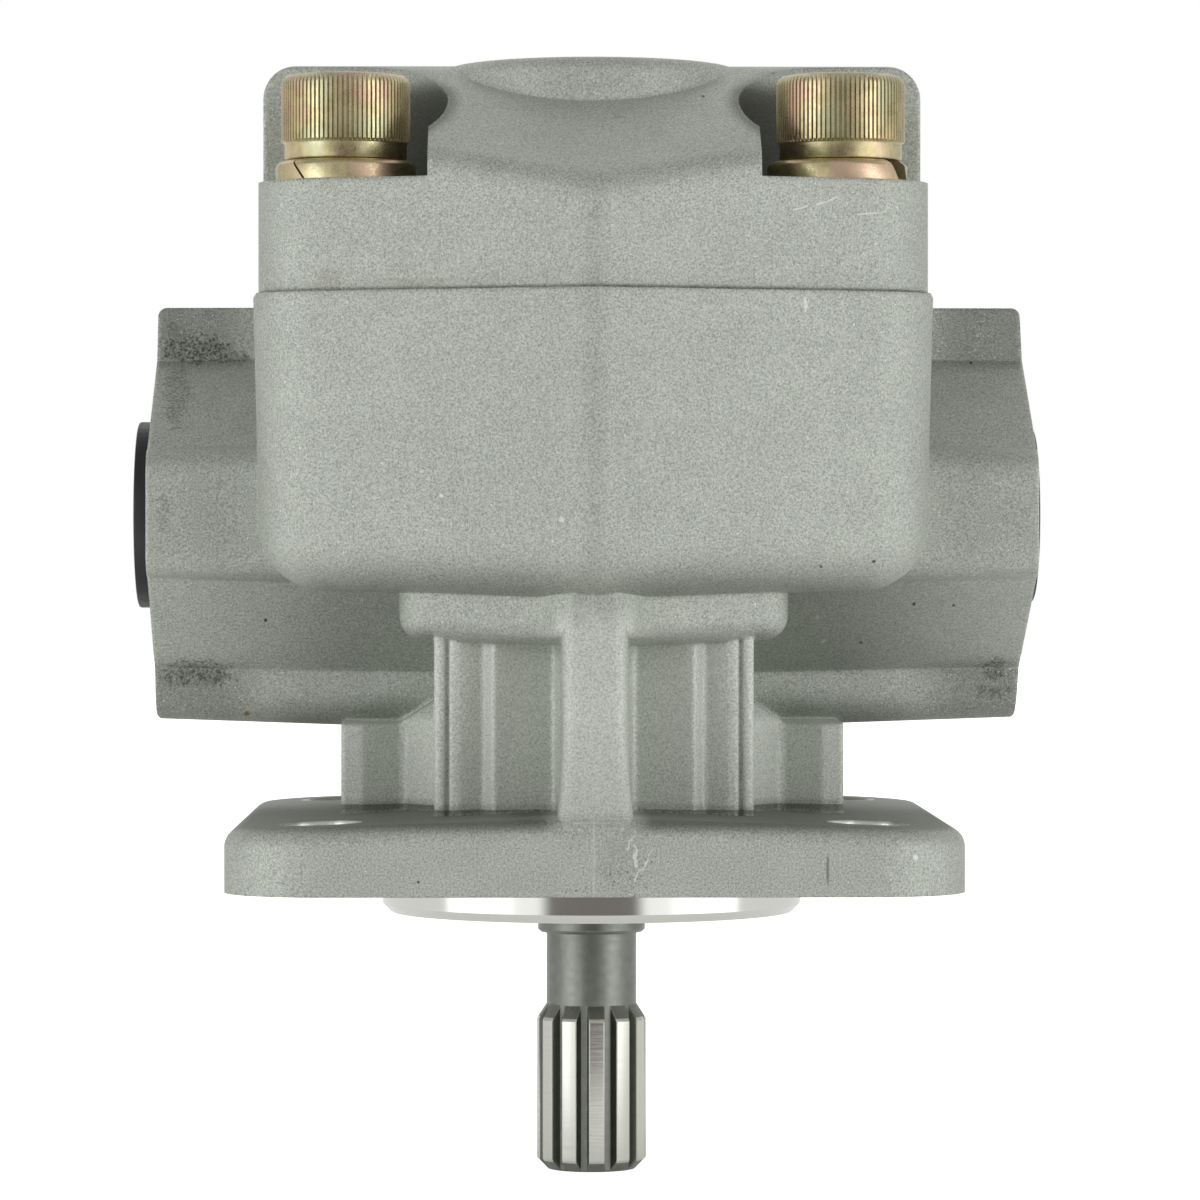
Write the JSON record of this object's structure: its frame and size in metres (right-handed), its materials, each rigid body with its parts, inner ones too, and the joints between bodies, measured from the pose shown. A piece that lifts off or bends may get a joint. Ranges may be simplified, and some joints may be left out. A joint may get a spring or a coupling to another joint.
{
  "type": "external gear pump",
  "caption": "External gear pump with a square flange, round pilot, splined drive shaft, side ports and a bolted rear cover.",
  "frame": {"origin": "centre of the flange's mounting face, on the drive shaft's axis", "axes": "+Z along the drive shaft from its splined end towards the rear cover, +X towards the pressure port, +Y from the drive gear towards the driven gear"},
  "size_m": [0.1314, 0.1334, 0.158],
  "materials": {
    "cast_aluminium": "sand cast and blasted",
    "machined_aluminium": "machined",
    "gear_steel": "ground",
    "yellow_zinc_steel": "zinc plated and yellow passivated",
    "spring_steel": "phosphated",
    "seal_case_steel": "rubber coated",
    "lined_bush": "bronze with a dark lining",
    "nitrile_rubber": "smooth",
    "backup_plastic": "moulded",
    "plug_plastic": "moulded"
  },
  "bodies": {
    "housing": {"pump_body": "cast_aluminium", "rear_cover": "cast_aluminium", "front_bearing_block": "machined_aluminium", "rear_bearing_block": "machined_aluminium", "drive_front_bush": "lined_bush", "drive_rear_bush": "lined_bush", "driven_front_bush": "lined_bush", "driven_rear_bush": "lined_bush", "front_lobe_seal": "nitrile_rubber", "rear_lobe_seal": "nitrile_rubber", "front_seal_backup": "backup_plastic", "rear_seal_backup": "backup_plastic", "cover_seal_ring": "nitrile_rubber", "shaft_seal_case": "seal_case_steel", "shaft_seal_lip": "nitrile_rubber", "shaft_seal_spring": "spring_steel", "seal_retaining_ring": "spring_steel", "cover_bolts": "yellow_zinc_steel", "spring_washers": "yellow_zinc_steel", "locating_dowels": "gear_steel"},
    "drive_gear": {"drive_gear_shaft": "gear_steel"},
    "driven_gear": {"driven_gear_shaft": "gear_steel"},
    "suction_plug": {"suction_port_plug": "plug_plastic"},
    "pressure_plug": {"pressure_port_plug": "plug_plastic"}
  },
  "joints": [
    {"name": "drive_spin", "type": "hinge", "parent": "housing", "child": "drive_gear", "pos_m": [0, 0, 0], "axis": [0, 0, 1], "continuous": true},
    {"name": "driven_spin", "type": "hinge", "parent": "housing", "child": "driven_gear", "pos_m": [0, 0.036, 0], "axis": [0, 0, 1], "continuous": true},
    {"name": "suction_plug_pull", "type": "slide", "parent": "housing", "child": "suction_plug", "axis": [-1, 0, 0], "range_m": [0, 0.025]},
    {"name": "pressure_plug_pull", "type": "slide", "parent": "housing", "child": "pressure_plug", "axis": [1, 0, 0], "range_m": [0, 0.025]}
  ],
  "couplings": [
    {"joint": "driven_spin", "follows": "drive_spin", "ratio": -1}
  ]
}
